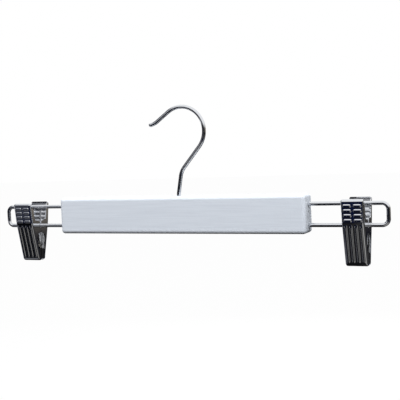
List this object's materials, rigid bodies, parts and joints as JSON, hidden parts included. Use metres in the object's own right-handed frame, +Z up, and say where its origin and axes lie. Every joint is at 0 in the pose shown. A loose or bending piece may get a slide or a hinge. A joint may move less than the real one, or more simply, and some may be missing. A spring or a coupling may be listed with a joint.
{
  "type": "clip hanger",
  "caption": "Trouser hanger: a rounded wooden bar on a swivelling wire hook, with sprung metal clips that slide on wire loops at its ends.",
  "frame": {"origin": "underside of the hook's crown, where it hangs on a rail", "axes": "+X along the bar to the hook's right, +Y to the back, +Z up"},
  "size_m": [0.3554, 0.031, 0.1329],
  "materials": {
    "lacquered_wood": "white satin lacquer",
    "chrome": "bright plated",
    "spring_steel": "nickel plated",
    "zinc": "zinc plated",
    "rubber": "matt moulded"
  },
  "bodies": {
    "hook_body": {"hook": "chrome"},
    "bar_body": {"wooden_bar": "lacquered_wood", "hook_washer": "zinc", "left_wire_loop": "chrome", "right_wire_loop": "chrome"},
    "left_clip_body": {"left_spring": "spring_steel"},
    "left_front_jaw_body": {"left_front_jaw": "chrome", "left_front_pad": "rubber"},
    "left_rear_jaw_body": {"left_rear_jaw": "chrome", "left_rear_pad": "rubber"},
    "right_clip_body": {"right_spring": "spring_steel"},
    "right_front_jaw_body": {"right_front_jaw": "chrome", "right_front_pad": "rubber"},
    "right_rear_jaw_body": {"right_rear_jaw": "chrome", "right_rear_pad": "rubber"}
  },
  "joints": [
    {"name": "hook_swivel", "type": "hinge", "parent": "hook_body", "child": "bar_body", "pos_m": [-0.00526, 0, -0.07303], "axis": [0, 0, 1], "continuous": true},
    {"name": "left_clip_slide", "type": "slide", "parent": "bar_body", "child": "left_clip_body", "axis": [1, 0, 0], "range_m": [-0.0103, 0.0276]},
    {"name": "left_front_jaw_hinge", "type": "hinge", "parent": "left_clip_body", "child": "left_front_jaw_body", "pos_m": [-0.15536, 0, -0.09793], "axis": [-1, 0, 0], "range_deg": [0, 15], "stiffness_Nm_per_rad": 0.5, "springref_deg": -25.78, "deforming": ["left_spring"]},
    {"name": "left_rear_jaw_hinge", "type": "hinge", "parent": "left_clip_body", "child": "left_rear_jaw_body", "pos_m": [-0.15536, 0, -0.09793], "axis": [1, 0, 0], "range_deg": [0, 15]},
    {"name": "right_clip_slide", "type": "slide", "parent": "bar_body", "child": "right_clip_body", "axis": [-1, 0, 0], "range_m": [-0.0092, 0.0294]},
    {"name": "right_front_jaw_hinge", "type": "hinge", "parent": "right_clip_body", "child": "right_front_jaw_body", "pos_m": [0.14664, 0, -0.09793], "axis": [-1, 0, 0], "range_deg": [0, 15], "stiffness_Nm_per_rad": 0.5, "springref_deg": -25.78, "deforming": ["right_spring"]},
    {"name": "right_rear_jaw_hinge", "type": "hinge", "parent": "right_clip_body", "child": "right_rear_jaw_body", "pos_m": [0.14664, 0, -0.09793], "axis": [1, 0, 0], "range_deg": [0, 15]}
  ],
  "couplings": [
    {"joint": "left_rear_jaw_hinge", "follows": "left_front_jaw_hinge", "ratio": 1},
    {"joint": "right_rear_jaw_hinge", "follows": "right_front_jaw_hinge", "ratio": 1}
  ]
}
